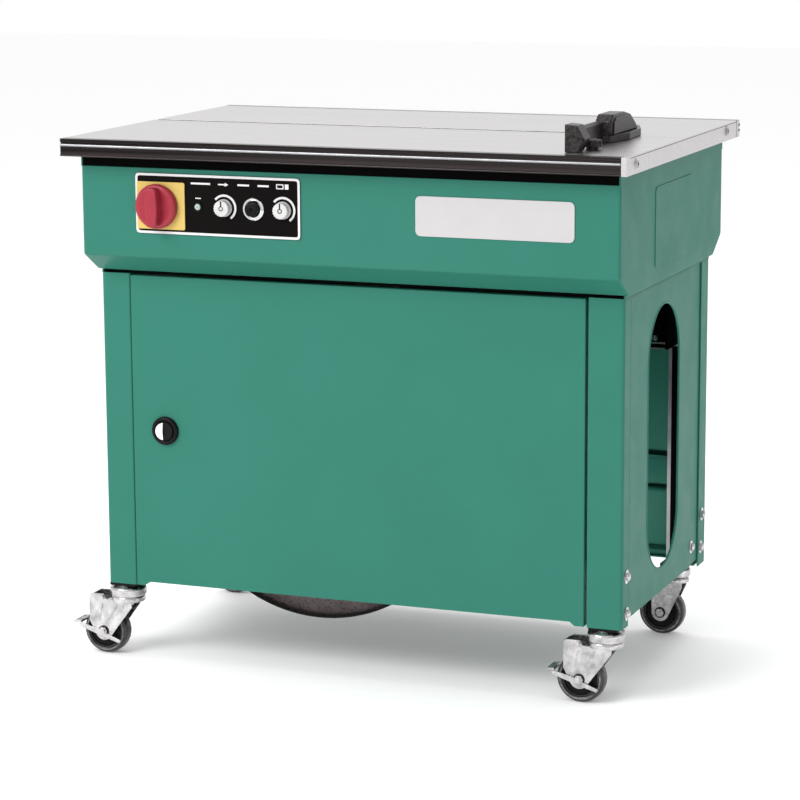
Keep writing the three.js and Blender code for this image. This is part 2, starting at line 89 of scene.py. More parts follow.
def surface(name, color, roughness, metallic=0.0, tint=0.05, tint_scale=7.0, grain=0.0, grain_scale=900.0,
            stretch=(1, 1, 1), rough_spread=0.05, gloss=0.2, streaks=False, specks=None, glow=0.0):
    """A Principled surface whose colour drifts by tint, whose roughness drifts by rough_spread and whose
    grain is a bump. Scales are per metre of the piece. stretch squeezes the grain along an axis, for
    brushing, and streaks squeezes the colour drift with it. gloss is the strength of the mirror part of a
    non-metal. specks is (colour, share of the surface, scale per metre)."""
    made = bpy.data.materials.new(name)
    made.use_nodes = True
    tree = made.node_tree
    nodes, links = tree.nodes, tree.links
    shader = nodes["Principled BSDF"]
    shader.inputs["Metallic"].default_value = metallic
    shader.inputs["Specular IOR Level"].default_value = METAL_GLOSS if metallic else gloss
    shader.inputs["Emission Color"].default_value = (1, 1, 1, 1)
    shader.inputs["Emission Strength"].default_value = glow
    place = nodes.new("ShaderNodeTexCoord").outputs["Object"]

    def noise(scale, detail, squeeze=(1, 1, 1)):
        mapping = nodes.new("ShaderNodeMapping")
        mapping.inputs["Scale"].default_value = squeeze
        links.new(place, mapping.inputs["Vector"])
        texture = nodes.new("ShaderNodeTexNoise")
        texture.inputs["Scale"].default_value = scale
        texture.inputs["Detail"].default_value = detail
        links.new(mapping.outputs["Vector"], texture.inputs["Vector"])
        return texture.outputs["Fac"]

    def ramp(source, low, high, start=0.3, end=0.7):
        band = nodes.new("ShaderNodeMapRange")
        band.inputs["From Min"].default_value = start
        band.inputs["From Max"].default_value = end
        band.inputs["To Min"].default_value = low
        band.inputs["To Max"].default_value = high
        links.new(source, band.inputs["Value"])
        return band.outputs["Result"]

    def mix(factor, first, second):
        blend = nodes.new("ShaderNodeMix")
        blend.data_type = "RGBA"
        links.new(factor, blend.inputs["Factor"])
        for socket, value in ((blend.inputs["A"], first), (blend.inputs["B"], second)):
            if hasattr(value, "links"):
                links.new(value, socket)
            else:
                socket.default_value = (*value, 1)
        return blend.outputs["Result"]

    darker = [c * (1 - tint) for c in color]
    lighter = [min(1, c * (1 + tint)) for c in color]
    shade = mix(ramp(noise(tint_scale, 4, stretch if streaks else (1, 1, 1)), 0, 1), darker, lighter)
    if specks:
        speck_color, share, scale = specks
        shade = mix(ramp(noise(scale, 2), 1, 0, share - SPECK_EDGE, share + SPECK_EDGE), shade, speck_color)
    links.new(shade, shader.inputs["Base Color"])
    fine = noise(grain_scale, 3, stretch)
    rough = ramp(fine if grain and stretch != (1, 1, 1) else noise(tint_scale * 3, 5),
                 roughness - rough_spread, roughness + rough_spread)
    links.new(rough, shader.inputs["Roughness"])
    if grain:
        bump = nodes.new("ShaderNodeBump")
        bump.inputs["Strength"].default_value = grain
        bump.inputs["Distance"].default_value = GRAIN_DEPTH
        links.new(fine, bump.inputs["Height"])
        links.new(bump.outputs["Normal"], shader.inputs["Normal"])
    return made


SURFACES = {
    "green_paint": surface("green_paint", (0.030, 0.170, 0.126), 0.40, tint=0.03, grain=0.22,
                           grain_scale=700, gloss=0.11),
    "stainless": surface("stainless", (0.605, 0.588, 0.593), 0.30, metallic=1.0, tint_scale=9, grain=0.35,
                         grain_scale=160, stretch=(0.03, 12, 12), streaks=True),
    "rail_metal": surface("rail_metal", (0.031, 0.025, 0.025), 0.26, metallic=0.9, tint=0.55, tint_scale=40,
                          grain=0.3, grain_scale=120, stretch=(0.03, 4, 4), streaks=True),
    "zinc": surface("zinc", (0.52, 0.505, 0.51), 0.25, metallic=1.0, tint=0.30, tint_scale=75, grain=0.35,
                    grain_scale=420, rough_spread=0.1),
    "steel": surface("steel", (0.34, 0.34, 0.35), 0.38, metallic=0.9, tint=0.12, tint_scale=30, grain=0.3,
                     grain_scale=600),
    "black_paint": surface("black_paint", (0.0015, 0.0012, 0.0013), 0.42, tint=0.2, grain=0.3, gloss=0.02),
    "black_plastic": surface("black_plastic", (0.007, 0.006, 0.006), 0.28, tint=0.3, tint_scale=60, grain=0.7,
                             grain_scale=900, gloss=0.09),
    "guide_plastic": surface("guide_plastic", (0.026, 0.022, 0.022), 0.32, tint=0.95, tint_scale=230,
                             grain=1.0, grain_scale=320, gloss=0.22),
    "rubber": surface("rubber", (0.004, 0.0035, 0.0035), 0.30, tint=0.3, tint_scale=40, grain=0.35,
                      grain_scale=800, rough_spread=0.08, gloss=0.75),
    # Pale grey rubber for the tyres' raised rings: painted highlight rings.
    "ring_highlight_rubber": surface("ring_highlight_rubber", (0.15, 0.142, 0.142), 0.40, tint=0.7, tint_scale=130, grain=0.4,
                           grain_scale=700),
    "red_plastic": surface("red_plastic", (0.31, 0.022, 0.040), 0.35, tint=0.08, tint_scale=60, grain=0.2,
                           grain_scale=600, gloss=0.3),
    "yellow_plastic": surface("yellow_plastic", (0.58, 0.42, 0.12), 0.42, tint=0.06, tint_scale=40,
                              grain=0.15),
    "light_plastic": surface("light_plastic", (0.56, 0.555, 0.55), 0.42, tint=0.06, tint_scale=60, grain=0.3),
    "panel_print": surface("panel_print", (0.004, 0.003, 0.003), 0.42, tint=0.25, grain=0.35,
                           grain_scale=1500, gloss=0.04),
    "label_white": surface("label_white", (0.50, 0.485, 0.49), 0.38, tint=0.02, tint_scale=25, grain=0.1),
    "print_white": surface("print_white", (0.66, 0.65, 0.655), 0.38, tint=0.02, tint_scale=60, grain=0.1),
    "lamp_lens": surface("lamp_lens", (0.42, 0.52, 0.46), 0.2, tint=0.1, tint_scale=90, gloss=0.5),
    "reel_board": surface("reel_board", (0.165, 0.128, 0.131), 0.55, tint=0.25, tint_scale=50, grain=0.6,
                          grain_scale=900, specks=((0.08, 0.062, 0.063), 0.42, 260)),
    "brass": surface("brass", (0.60, 0.44, 0.18), 0.35, metallic=1.0, tint=0.08, tint_scale=40, grain=0.2),
    "chrome": surface("chrome", (0.80, 0.80, 0.81), 0.10, metallic=1.0, tint=0.04, tint_scale=40,
                      rough_spread=0.03),
}


# ---- Mesh helpers ----
TINY = 1e-3  # millimetres
SHARP = 25  # degrees, from which an edge is rounded


def rounded(points, radius, steps=4):
    """A closed outline with every corner turned into an arc. radius is one number, or one per corner."""
    count = len(points)
    radii = radius if hasattr(radius, "__len__") else [radius] * count
    made = []
    for i, point in enumerate(points):
        here = Vector(point)
        before, after = Vector(points[i - 1]) - here, Vector(points[(i + 1) % count]) - here
        turn = before.angle(after)
        reach = radii[i] / math.tan(turn / 2) if turn < math.pi - 0.01 else 0
        reach = min(reach, before.length * 0.49, after.length * 0.49)
        if reach < 1e-4:
            made.append(tuple(here))
            continue
        start, end = here + before.normalized() * reach, here + after.normalized() * reach
        for step in range(steps + 1):
            t = step / steps
            made.append(tuple(start * (1 - t) ** 2 + here * 2 * t * (1 - t) + end * t ** 2))
    return made


def rectangle(u_span, v_span):
    (u0, u1), (v0, v1) = u_span, v_span
    return [(u0, v0), (u1, v0), (u1, v1), (u0, v1)]


def arc(centre, radius, start, end, steps):
    """Points on an arc, angles in degrees."""
    angles = (math.radians(start + (end - start) * i / steps) for i in range(steps + 1))
    return [(centre[0] + radius * math.cos(a), centre[1] + radius * math.sin(a)) for a in angles]


def circle(centre, radius, steps=48):
    return arc(centre, radius, 0, 360, steps)[:-1]


def shifted(points, centre, side=1):
    """Points given round a centre, mirrored left to right where side is -1."""
    return [(centre[0] + side * u, centre[1] + v) for u, v in points]


def placed(axis, u, v, along):
    """A point from its two coordinates across an axis, in X, Y, Z order, and its place along that axis."""
    return {"X": (along, u, v), "Y": (u, along, v), "Z": (u, v, along)}[axis]


def loft(bm, rings, close=False):
    """Joins rings of equally many points and caps the two ends. close joins the last ring to the first."""
    loops = [[bm.verts.new(p) for p in ring] for ring in rings]
    for first, second in zip(loops, loops[1:] + loops[:1] if close else loops[1:]):
        for i in range(len(first)):
            j = (i + 1) % len(first)
            bm.faces.new((first[i], first[j], second[j], second[i]))
    if not close:
        bm.faces.new(loops[0])
        bm.faces.new(loops[-1])


def prism(axis, outline, span, edge=0.0, steps=2):
    """An outline swept along an axis, its end edges rounded by edge."""
    bm = bmesh.new()
    low, high = span
    if edge <= 0:
        loft(bm, [[placed(axis, u, v, end) for u, v in outline] for end in span])
        return bm
    rings = []
    for end, sign in ((low, 1), (high, -1)):
        part = []
        for step in range(steps + 1):
            angle = math.pi / 2 * step / steps
            inset, depth = edge * (1 - math.sin(angle)), edge * (1 - math.cos(angle))
            part.append([placed(axis, u, v, end + sign * depth) for u, v in inset_outline(outline, inset)])
        rings += part if sign > 0 else part[::-1]
    loft(bm, rings)
    return bm


def inset_outline(outline, distance):
    """The outline moved inwards by a distance, point for point."""
    if distance == 0:
        return list(outline)
    area = sum(a[0] * b[1] - b[0] * a[1] for a, b in zip(outline, outline[1:] + outline[:1]))
    side = 1 if area > 0 else -1
    made = []
    for i, point in enumerate(outline):
        here, count = Vector(point), len(outline)
        back = (here - Vector(outline[i - 1])).normalized()
        ahead = (Vector(outline[(i + 1) % count]) - here).normalized()
        inward = Vector((-(back.y + ahead.y), back.x + ahead.x)) * side
        inward.normalize()
        lean = max(0.35, inward.dot(Vector((-ahead.y, ahead.x)) * side))
        made.append(tuple(here + inward * (distance / lean)))
    return made


def lathe(axis, profile, centre, segments=64, base=0, out=1):
    """A closed outline of (radius, distance from base) turned round the axis through centre. out is the way
    the distances run, 1 or -1. Points on the axis start as a tiny ring, which the weld closes."""
    bm = bmesh.new()
    rings = [[placed(axis, u, v, base + out * along) for u, v in circle(centre, max(radius, TINY), segments)]
             for radius, along in profile]
    loft(bm, rings, close=True)
    bmesh.ops.remove_doubles(bm, verts=bm.verts, dist=2 * TINY)
    return bm


def tube(points, radius, sides=12, closed=False):
    """A round bar along a path of points."""
    bm = bmesh.new()
    path = [Vector(p) for p in points]
    rings, normal = [], None
    for i, point in enumerate(path):
        ahead = path[(i + 1) % len(path)] if closed or i + 1 < len(path) else point
        behind = path[i - 1] if closed or i > 0 else point
        along = (ahead - behind).normalized()
        normal = along.orthogonal() if normal is None else normal - along * normal.dot(along)
        normal.normalize()
        other = along.cross(normal)
        rings.append([point + normal * u + other * v for u, v in circle((0, 0), radius, sides)])
    loft(bm, rings, close=closed)
    return bm


def block(x_span, y_span, z_span, edge=0.6):
    """A box with rounded edges."""
    return beveled(prism("Z", rectangle(x_span, y_span), z_span), edge)


def node_block(node, edge):
    return block(*zip(*node_box(node)), edge)


def beveled(bm, width, steps=2):
    sharp = [e for e in bm.edges if len(e.link_faces) == 2 and e.calc_face_angle() > math.radians(SHARP)]
    if sharp and width > 0:
        bmesh.ops.bevel(bm, geom=sharp, offset=width, segments=steps, profile=0.5, affect="EDGES",
                        clamp_overlap=True)
    return bm


def merged(*parts):
    """One mesh holding several solids that are welded or screwed together on the real machine."""
    bm = parts[0]
    for part in parts[1:]:
        mesh = bpy.data.meshes.new("part")
        part.to_mesh(mesh)
        bm.from_mesh(mesh)
        part.free()
        bpy.data.meshes.remove(mesh)
    return bm


def piece(name, bm, body, finish, *replaces, smooth=40):
    """Puts a mesh built in machine millimetres into the frame as one visible piece, and hides the CAD nodes that
    it stands in for."""
    bmesh.ops.recalc_face_normals(bm, faces=bm.faces)
    mesh = bpy.data.meshes.new(name)
    bm.to_mesh(mesh)
    bm.free()
    mesh.transform(TO_FRAME)
    mesh.shade_smooth()
    mesh.set_sharp_from_angle(angle=math.radians(smooth))
    mesh.materials.append(SURFACES[finish])
    made = bpy.data.objects.new(name, mesh)
    bpy.context.scene.collection.objects.link(made)
    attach(made, body)
    if replaces:
        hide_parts(*replaces)
    even = made.modifiers.new("even_shading", "WEIGHTED_NORMAL")
    even.keep_sharp = True


def node_mesh(node, edge=0.0, steps=2):
    """The CAD node's mesh in machine millimetres, its flat faces made whole and its edges rounded."""
    bm = bmesh.new()
    bm.from_mesh(frame["nodes"][node].data)
    bmesh.ops.transform(bm, matrix=TO_MACHINE, verts=bm.verts)
    bmesh.ops.remove_doubles(bm, verts=bm.verts, dist=TINY)
    bmesh.ops.dissolve_limit(bm, angle_limit=math.radians(0.5), verts=bm.verts, edges=bm.edges)
    return beveled(bm, edge, steps)


def node_plate(node, corner, edge, steps=4):
    """A plate that faces the operator and fills the CAD node's box, with rounded corners and edges."""
    low, high = node_box(node)
    outline = rounded(rectangle((low.x, high.x), (low.z, high.z)), corner, steps)
    return prism("Y", outline, (low.y, high.y), edge)


# ---- Fastenings, the same ones all over the machine ----
# Radii, and the head's dome as (share of its radius, height)
BOLT = {"head": 6.5, "washer": 10.5, "thick": 1.4,
        "dome": ((1, 1.3), (1, 4.4), (0.92, 5.4), (0.7, 6.2), (0.35, 6.7))}


def bolt(axis, centre, base, out):
    """A domed hexagon bolt on its washer. out is the way it faces along the axis, 1 or -1."""
    bm = bmesh.new()
    loft(bm, [[placed(axis, u, v, base + out * rise) for u, v in circle(centre, BOLT["head"] * scale, 6)]
              for scale, rise in BOLT["dome"]])
    ring = rectangle((BOLT["head"] / 2, BOLT["washer"]), (0, BOLT["thick"]))
    return merged(lathe(axis, ring, centre, 32, base, out), bm)


def pan_screw(axis, centre, base, out, radius=4.5):
    """A pan head screw with a straight slot cut across it."""
    slot, depth, height = radius * 0.16, 0.9, 1.9
    half = [(max(slot, u), v) for u, v in arc((0, 0), radius, -90, 90, 14)]
    span = sorted((base + out * (height - depth), base + out * height))
    foot = sorted((base, base + out * (height - depth + 0.05)))
    halves = [prism(axis, shifted(half, centre, side), span) for side in (-1, 1)]
    return merged(prism(axis, circle(centre, radius, 28), foot), *halves)


def ring_prism(axis, outer, inner, span, edge=0.0):
    """A frame between two outlines of equally many points."""
    bm = bmesh.new()
    low, high = span
    loft(bm, [[placed(axis, u, v, end) for u, v in outline]
              for outline, end in ((outer, low), (outer, high), (inner, high), (inner, low))], close=True)
    return beveled(bm, edge)


def fluted(centre, radius, depth, count, steps=6):
    """A round outline with flutes cut into it, for a grip."""
    made = []
    for i in range(count * steps):
        angle = 2 * math.pi * i / (count * steps)
        here = radius - depth * (0.5 - 0.5 * math.cos(angle * count)) ** 2
        made.append((centre[0] + here * math.cos(angle), centre[1] + here * math.sin(angle)))
    return made


def bent(node, radius, planes, width=0.4):
    """The CAD node's own sheet metal, with the bends between the planes given rounded to a radius."""
    bm = node_mesh(node)
    bends = [e for e in bm.edges
             if sum(all(abs(plane(v.co)) < 0.05 for v in e.verts) for plane in planes) >= 2]
    bmesh.ops.bevel(bm, geom=bends, offset=radius, segments=4, profile=0.5, affect="EDGES",
                    clamp_overlap=True)
    return beveled(bm, width)


# ---- Upper housing and the black frame on it ----
HOUSING_LOW, HOUSING_HIGH = node_box("housing_shell")
BEVEL = {"z": 649.8, "in": 46.5}
WALL = 2.5
PRESSED = {"rise": 1.2, "y": 101, "z": (644, 765), "corner": 10}
OPENING = {"x": 395, "y": 200}  # half sizes of the hole in the tray's floor


def housing():
    """A folded tray, open at the top inside its flange, with walls that stand higher at its two ends."""
    half_x, half_y, fold = HOUSING_HIGH.x - PRESSED["rise"], HOUSING_HIGH.y, BEVEL["z"]
    bottom, top, foot = HOUSING_LOW.z, node_box("table_frame")[0].z - 0.3, HOUSING_HIGH.y - BEVEL["in"]
    floor, hole_in, hole_y = bottom + WALL, half_x - OPENING["x"], OPENING["y"]
    # Height, how far the ring lies in from the ends, its half depth and its corner radius
    levels = [(bottom, 3, foot - 4, 5), (bottom + 0.7, 1, foot - 0.8, 5), (bottom + 2, 0.2, foot + 2.4, 5),
              (fold - 1.8, 0, half_y - 3, 5), (fold + 0.6, 0, half_y - 0.7, 5), (fold + 3.4, 0, half_y, 5),
              (top - 0.5, 0, half_y, 5), (top, 0.5, half_y - 0.5, 5), (top, 30, half_y - 30, 4),
              (top - WALL, 30, half_y - 30, 4), (top - WALL, WALL, half_y - WALL, 3),
              (fold + 1, WALL, half_y - WALL, 3), (floor, WALL, foot - 1, 3), (floor, hole_in, hole_y, 3),
              (bottom, hole_in, hole_y, 3)]
    bm = bmesh.new()
    rings = []
    for z, inset, reach, radius in levels:
        ring = rounded(rectangle((inset - half_x, half_x - inset), (-reach, reach)), radius, 6)
        rings.append([(x, y, z) for x, y in ring])
    loft(bm, rings, close=True)
    parts = [bm]
    field = rounded(rectangle((-PRESSED["y"], PRESSED["y"]), PRESSED["z"]), PRESSED["corner"], 6)
    for side in (-1, 1):
        wall = rectangle(sorted((side * (half_x - WALL), side * half_x)), (-half_y + 0.1, half_y - 0.1))
        outer = [0.4, 2.2, 2.2, 0.4] if side > 0 else [2.2, 0.4, 0.4, 2.2]
        parts.append(prism("Z", rounded(wall, outer, 5), (top - 1, HOUSING_HIGH.z), 0.4))
        span = sorted((side * (half_x - 1), side * HOUSING_HIGH.x))
        parts.append(prism("X", field, span, 0.9, 4))
    piece("housing", merged(*parts), "machine", "green_paint", "housing_shell")
    # The frame ring and the mechanism plate are black paint: partly their own colour, partly painted shade for the
    # dark bands under the table and between cabinet and housing.
    piece("frame_ring", node_mesh("table_frame", 0.6), "machine", "black_paint", "table_frame")
    piece("mechanism_plate", node_mesh("mechanism_base", 0.5), "machine", "black_paint",
          "mechanism_base")


# ---- Cabinet ----
def posts():
    for corner in CORNERS:
        name = corner + "_post"
        low, high = node_box(name)
        right, front = corner.endswith("right"), corner.startswith("front")
        outer = (high.x if right else low.x, low.y if front else high.y)
        into = (-1 if right else 1, 1 if front else -1)
        width, depth, lip, wall = high.x - low.x, high.y - low.y, 24, 2
        local = [(0, 0), (width, 0), (width, lip), (width - wall, lip), (width - wall, wall), (wall, wall),
                 (wall, depth), (0, depth)]
        outline = [(outer[0] + into[0] * u, outer[1] + into[1] * v) for u, v in local]
        bends = [6, 3, 0.6, 0.6, 1, 4, 0.6, 1.6]
        foot = prism("Z", rectangle(sorted((outer[0] + into[0] * 7, outer[0] + into[0] * (width - 3))),
                                    sorted((outer[1] + into[1] * 7, outer[1] + into[1] * (depth - 1)))),
                     (low.z, low.z + 3))
        piece(name + "_sheet", merged(prism("Z", rounded(outline, bends, 5), (low.z, high.z), 0.4), foot),
              "machine", "green_paint", name)


WINDOW = {"y": -21, "half": 84, "bottom": 169, "top": 580}


def window_outline(growth, steps=24):
    y, half, radius = WINDOW["y"], WINDOW["half"], WINDOW["half"] + growth
    low, high = WINDOW["bottom"] + half, WINDOW["top"] - half
    return arc((y, high), radius, 0, 180, steps) + arc((y, low), radius, 180, 360, steps)


# Bolts at the foot of an end panel: place along Y, height, and whether the sheet is stepped in there
PANEL_BOLTS = ((-210.7, 198.3, False), (-208.8, 141.3, False), (151.7, 160.7, True), (198.4, 150.4, False),
               (203.8, 203.5, False))


def end_panels():
    flush = node_box("rear_right_post")[1].x
    recess = node_box("right_end_panel")[1].x - 2.6
    for side, label in SIDES:
        name = label + "_end_panel"
        low, high = node_box(name)
        face = high.x if side > 0 else low.x
        rim = tube([(face - side * 0.9, y, z) for y, z in window_outline(0.6)], 1.9, 12, closed=True)
        piece(name + "_sheet", merged(node_mesh(name, 0.6), rim), "machine", "green_paint", name)
        cap = block(sorted((face - side * 2, face)), (low.y - 30, high.y + 14),
                    (high.z + 0.2, HOUSING_LOW.z - 0.4), 0.5)
        piece(name + "_cap", cap, "machine", "green_paint")
        for number, (y, z, stepped) in enumerate(PANEL_BOLTS):
            base = recess if stepped else flush
            piece(f"{name}_bolt_{number}", bolt("X", (y, z), side * base, side), "machine", "zinc")


def rear_panel():
    low, high = node_box("rear_panel")
    piece("rear_panel_sheet", node_mesh("rear_panel", 0.6, 3), "machine", "green_paint",
          "rear_panel")
    front = low.y - 4
    stay = block((364, 370), (front, high.y - 5), (low.z + 3, high.z - 4), 0.8)
    piece("rear_panel_stay", stay, "machine", "steel")
    # The black channel beside the stay is painted shade: a dark strip where the cabinet's inside lies in shade by
    # the rear post.
    shade_channel = block((371, 380), (front - 4, high.y - 17), (low.z + 3, high.z), 0.8)
    piece("rear_panel_channel", shade_channel, "machine", "black_paint")
    for number, (x, z) in enumerate((x, z) for x in (-355, 0, 340) for z in (low.z + 25, high.z - 25)):
        piece(f"rear_panel_screw_{number}", pan_screw("Y", (x, z), high.y, 1), "machine", "zinc")


def door():
    low, high = node_box("door_panel")
    bottom, back, pin_x = low.z + 6, low.y + 2, high.x - 6
    planes = (lambda p: p.y - low.y, lambda p: p.x - low.x, lambda p: p.x - high.x, lambda p: p.z - high.z,
              lambda p: p.z - bottom)
    piece("door_sheet", bent("door_panel", 1.6, planes, 0.35), "door", "green_paint", "door_panel")
    span = (bottom + 30, high.z - 30)
    for number, x in enumerate((low.x + 190, high.x - 190)):
        stiffener = prism("X", rectangle((back - 0.1, back + 1.6), span), (x - 18, x + 18))
        fold = block((x - 6, x + 6), (back, back + 12), span, 1.0)
        piece(f"door_stiffener_{number}", merged(stiffener, fold), "door", "green_paint")
    for number, ends in enumerate(((bottom + 14, bottom + 54), (high.z - 54, high.z - 14))):
        knuckle = lathe("Z", rectangle((0, 3.2), ends), (pin_x, low.y + 12), 20)
        piece(f"door_hinge_{number}", knuckle, "door", "steel")


def lock():
    low, high = node_box("lock_ring")
    centre, depth = across("Y", "lock_ring"), high.y - low.y
    ring = [(15.2, depth), (22.3, depth), (22.3, 3.4), (21.6, 1.6), (19.8, 0.3), (17.8, 0), (16.2, 0.9),
            (15.2, 3)]
    piece("lock_bezel", lathe("Y", ring, centre, base=low.y), "door", "black_plastic", "lock_ring")
    front, back = (corner.y for corner in node_box("lock_barrel"))
    disc, key = 14.4, 7.9
    barrel = lathe("Y", [(0, front + 3), (disc, front + 3), (disc, high.y - 0.6), (key, high.y - 0.6),
                         (key, back - 2), (0, back - 2)], centre, 48)
    cam = block((centre[0] - 46, centre[0] + 7), (back - 4, back - 1), (centre[1] - 7, centre[1] + 7), 0.8)
    piece("lock_core", merged(barrel, cam), "door_lock", "black_plastic")
    # The chrome half disc on the left is a painted highlight on the lock's glossy face, and the black core showing
    # on the right stands in for its shaded half.
    highlight_half = [(u - 0.4, v) for u, v in arc(centre, 13.8, 92, 268, 24)] + [(centre[0] - 1.6, centre[1])]
    piece("lock_flap", prism("Y", highlight_half, (front, front + 4), 1.4, 3), "door_lock", "chrome", "lock_barrel")


# ---- Control panel ----
PANEL_FACE = node_box("control_panel")[0].y
INK = (PANEL_FACE - 0.2, PANEL_FACE + 0.1)


def panel():
    low, high = node_box("control_panel")
    piece("panel_plate", node_plate("control_panel", 7, 0.3, 6), "machine", "panel_print", "control_panel")
    edge = rounded(rectangle((low.x, high.x), (low.z, high.z)), 7, 6)
    inner = rounded(rectangle((low.x + 4, high.x - 4), (low.z + 4, high.z - 4)), 4, 6)
    border = ring_prism("Y", inset_outline(edge, 0.35), inner, (PANEL_FACE - 0.18, PANEL_FACE + 0.1))
    piece("panel_border", border, "machine", "print_white")
    piece("blank_plate", node_plate("name_plate", 9, 0.45, 8), "machine", "label_white", "name_plate")


def symbols():
    """Generic strokes over the controls: bars, an arrow and a small frame."""
    row, button = node_box("control_panel")[1].z - 13.5, across("Y", "manual_feed_button")[1]
    bars = (((-244, -212), (-1.2, 1.6)), ((-199, -188), (-1, 1)), ((-167, -148), (-1.2, 1.6)),
            ((-134, -116), (-1.2, 1.6)), ((-90, -84), (-3.5, 4)))
    strokes = [block(span, INK, (row + foot, row + head), 0) for span, (foot, head) in bars]
    strokes += [block((-237, -227.6), INK, (button + 12, button + 13.6), 0),
                prism("Y", [(-188, row - 3), (-182, row), (-188, row + 3)], INK),
                ring_prism("Y", rectangle((-104, -92), (row - 3.5, row + 4)),
                           rectangle((-102.4, -93.6), (row - 1.9, row + 2.4)), INK)]
    piece("panel_symbols", merged(*strokes), "machine", "print_white")


def main_switch():
    piece("switch_base", node_plate("switch_plate", 3, 0.6), "machine", "yellow_plastic", "switch_plate")
    low, high = node_box("main_switch_knob")
    centre, radius = across("Y", "main_switch_knob"), (high.x - low.x) / 2 + 0.2
    skirt = [(0, 0), (radius - 1, 0), (radius, 1.2), (radius, 6.5), (radius - 1.2, 9), (radius - 4, 10.6),
             (radius - 8, 11), (radius - 9.5, 10.2), (14, 9.6), (0, 9.6)]
    grip = rounded([(-8.5, -29.5), (8.5, -29.5), (10.5, 0), (8.5, 29.5), (-8.5, 29.5), (-10.5, 0)],
                   [6, 6, 30, 6, 6, 30], 5)
    handle = prism("Y", shifted(grip, centre), (low.y + 0.5, high.y - 8), 2.6, 4)
    piece("switch_knob", merged(lathe("Y", skirt, centre, 96, high.y, -1), handle), "main_switch",
          "red_plastic", "main_switch_knob")


def pilot_lamp():
    centre, root = node_centre("pilot_lamp").xz, node_box("pilot_lamp")[1].y
    foot = root - PANEL_FACE
    bezel = [(4.8, foot), (7.2, foot), (7.2, 1.6), (6.2, 2.4), (4.8, 2)]
    piece("lamp_bezel", lathe("Y", bezel, centre, 32, root, -1), "machine", "black_plastic")
    dome = [(0, 0), (4.8, 0), (4.8, 2.2), (4.2, 3.6), (2.6, 4.7), (0, 5.1)]
    piece("lamp_dome", lathe("Y", dome, centre, 32, root, -1), "machine", "lamp_lens", "pilot_lamp")


def dials():
    foot = [(0, 0), (13.2, 0), (13.2, 2.2), (12.4, 3.2), (0, 3.2)]
    for node, body in (("feed_length_knob", "feed_length_dial"), ("tension_knob", "tension_dial")):
        low, high = node_box(node)
        centre, tip = across("Y", node), low.y + 1
        grip = prism("Y", fluted(centre, 12.2, 0.9, 18), (tip, high.y - 3), 0.8, 3)
        piece(node + "_turned", merged(lathe("Y", foot, centre, 48, high.y, -1), grip), body, "light_plastic",
              node)
        pointer = block((centre[0] - 1, centre[0] + 1), (tip - 0.25, tip + 0.3),
                        (centre[1] + 2.5, centre[1] + 11), 0.15)
        dimple = lathe("Y", rectangle((2.4, 3.6), (-0.25, 0.2)), centre, 32, tip)
        piece(node + "_mark", merged(pointer, dimple), body, "black_plastic")
        scale = arc(centre, 20.2, 140, -55, 40) + arc(centre, 16.8, -55, 140, 40)
        piece(node + "_scale", prism("Y", scale, INK), "machine", "print_white")


def feed_button():
    low, high = node_box("manual_feed_button")
    centre, depth = across("Y", "manual_feed_button"), high.y - low.y
    cap = [(0, depth), (10.6, depth), (10.6, 1.4), (9.4, 0.3), (7.5, 0), (5, 0.7), (0, 1)]
    piece("button_cap", lathe("Y", cap, centre, 48, low.y), "feed_button", "black_plastic",
          "manual_feed_button")
    collar = [(11.4, 0), (17.2, 0), (17.2, 1.6), (16.2, 2.6), (14.8, 2.6), (14.2, 1.8), (13.6, 2.6),
              (12.6, 3.6), (11.4, 3.2)]
    piece("button_collar", lathe("Y", collar, centre, 64, PANEL_FACE, -1), "machine", "chrome")


# ---- Table top ----
LIP_SCREWS = ((-262.8, 816.4), (232, 818))  # place along Y and height
TABLE_TOP = node_box("table_plate")[1].z


def table_top():
    piece("top_sheet", node_mesh("table_plate", 0.3), "table_top", "stainless", "table_plate")
    plate_low, plate_high = node_box("table_plate")
    middle = node_centre("slide_table")
    liner = [(-5.9, -0.5), (-5.2, -0.5), (-5.2, -13.2), (5.2, -13.2), (5.2, -0.5), (5.9, -0.5), (5.9, -13.9),
             (-5.9, -13.9)]
    track = prism("X", shifted(liner, (middle.y, TABLE_TOP)), (plate_low.x + 0.6, middle.x - 32.6))
    piece("strap_track", track, "table_top", "black_plastic")
    for side, name in SIDES:
        face = plate_high.x if side > 0 else plate_low.x
        seam = block(sorted((face - side * 0.5, face + side * 0.25)), (-292, 292),
                     (TABLE_TOP - 2.9, TABLE_TOP - 1.9), 0.1)
        piece(name + "_lip_seam", seam, "table_top", "rail_metal")
        for number, spot in enumerate(LIP_SCREWS):
            washer = lathe("X", rectangle((2, 8.2), (0, 1.1)), spot, 36, face, side)
            screw = merged(washer, pan_screw("X", spot, face + side, side, 5))
            piece(f"{name}_lip_screw_{number}", screw, "table_top", "zinc")
            # A black disc over the middle of each screw is painted shade in its recess.
            socket = lathe("X", rectangle((0, 2.6), (2, 3)), spot, 24, face, side)
            piece(f"{name}_lip_screw_shade_{number}", socket, "table_top", "black_plastic")


def ridge(depth, drop, half):
    """A round ridge of a rail, as points of (distance in from the outer face, distance below the top)."""
    turns = [math.radians(turn) for turn in range(15, 166, 25)]
    return [(depth - depth * math.sin(turn), drop - half * math.cos(turn)) for turn in turns]


